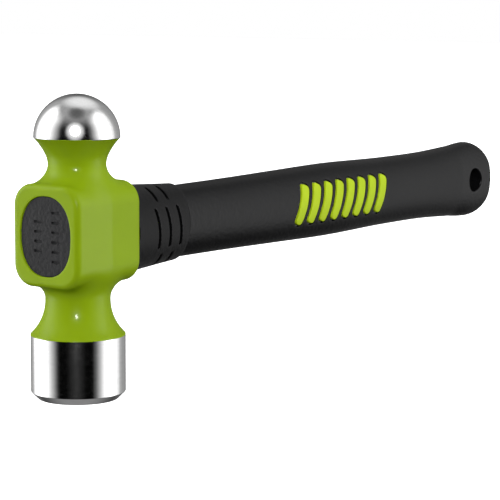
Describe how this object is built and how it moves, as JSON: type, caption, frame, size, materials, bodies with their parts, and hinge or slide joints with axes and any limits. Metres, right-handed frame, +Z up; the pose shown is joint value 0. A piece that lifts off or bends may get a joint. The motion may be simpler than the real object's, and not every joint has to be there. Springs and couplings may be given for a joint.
{
  "type": "ball peen hammer",
  "caption": "Ball peen hammer: forged head with a round striking face and a ball peen, on a slim rubber-covered handle with a slotted neck and a hang hole.",
  "frame": {"origin": "centre of the striking face", "axes": "+Z up the head from the striking face to the ball, +X along the handle from the head to the butt"},
  "size_m": [0.3515, 0.0386, 0.1238],
  "materials": {
    "head_enamel": "satin green powder coat over forged steel",
    "head_polished": "polished bare steel on the ball and the striking face",
    "rod_steel": "plain drawn steel",
    "cover_rubber": "matt black moulding with a fine leather-like grain",
    "neck_rubber": "matt black, fine texture",
    "grip_rubber": "matt black, fine texture",
    "core_nylon": "as moulded",
    "spacer_nylon": "natural nylon, as moulded",
    "badge_lime": "satin lime inlay"
  },
  "bodies": {
    "root": {"hammer_head": "head_enamel", "locking_plate": "rod_steel", "eye_cover": "cover_rubber", "core_rod_1": "rod_steel", "core_rod_2": "rod_steel", "core_rod_3": "rod_steel", "core_rod_4": "rod_steel", "core_rod_5": "rod_steel", "core_rod_6": "rod_steel", "rod_spacer_1": "spacer_nylon", "rod_spacer_2": "spacer_nylon", "rod_spacer_3": "spacer_nylon", "handle_core": "core_nylon", "neck_sleeve": "neck_rubber", "grip": "grip_rubber", "badge_right": "badge_lime", "badge_left": "badge_lime"}
  },
  "joints": []
}
